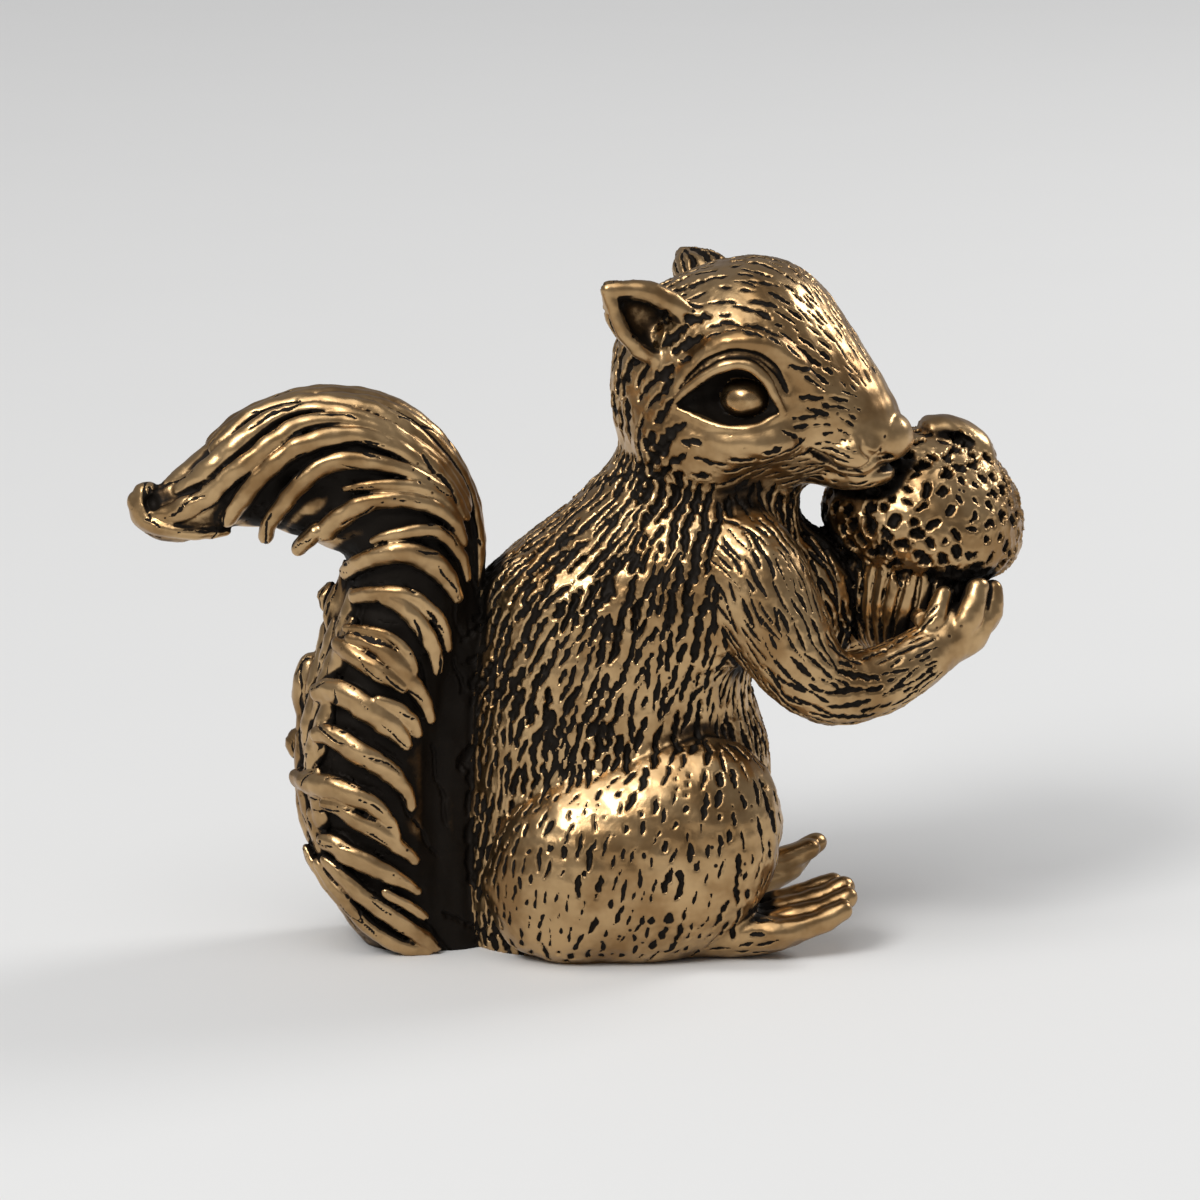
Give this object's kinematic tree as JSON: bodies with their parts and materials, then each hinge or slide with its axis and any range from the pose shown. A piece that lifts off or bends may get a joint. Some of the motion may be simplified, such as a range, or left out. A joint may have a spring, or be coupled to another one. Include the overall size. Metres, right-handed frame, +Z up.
{
  "type": "squirrel figurine",
  "caption": "Cast brass squirrel figurine, sitting up and nibbling an acorn, with a bushy tail arched over behind; stands on its own flat base as an ornament.",
  "frame": {"origin": "Middle of the figure's box, on the level plane that it stands on", "axes": "+X is the way the figure faces, +Z is up, and its right side is towards -Y"},
  "size_m": [0.05, 0.0186, 0.0386],
  "materials": {
    "cast_brass": "cast, blackened in the hollows and rubbed bright on the high places",
    "bead_brass": "smooth, rubbed bright",
    "rod_brass": "plain drawn rod"
  },
  "bodies": {
    "root": {"torso": "cast_brass", "head": "cast_brass", "right_ear": "cast_brass", "left_ear": "cast_brass", "right_eye": "bead_brass", "left_eye": "bead_brass", "tail": "cast_brass", "right_arm": "cast_brass", "left_arm": "cast_brass", "right_haunch": "cast_brass", "left_haunch": "cast_brass", "right_foot": "cast_brass", "left_foot": "cast_brass", "acorn_nut": "cast_brass", "acorn_cup": "cast_brass", "acorn_stalk": "cast_brass", "neck_dowel": "rod_brass", "tail_dowels": "rod_brass", "shoulder_dowels": "rod_brass", "haunch_dowels": "rod_brass", "foot_dowels": "rod_brass", "acorn_pin": "rod_brass"}
  },
  "joints": []
}
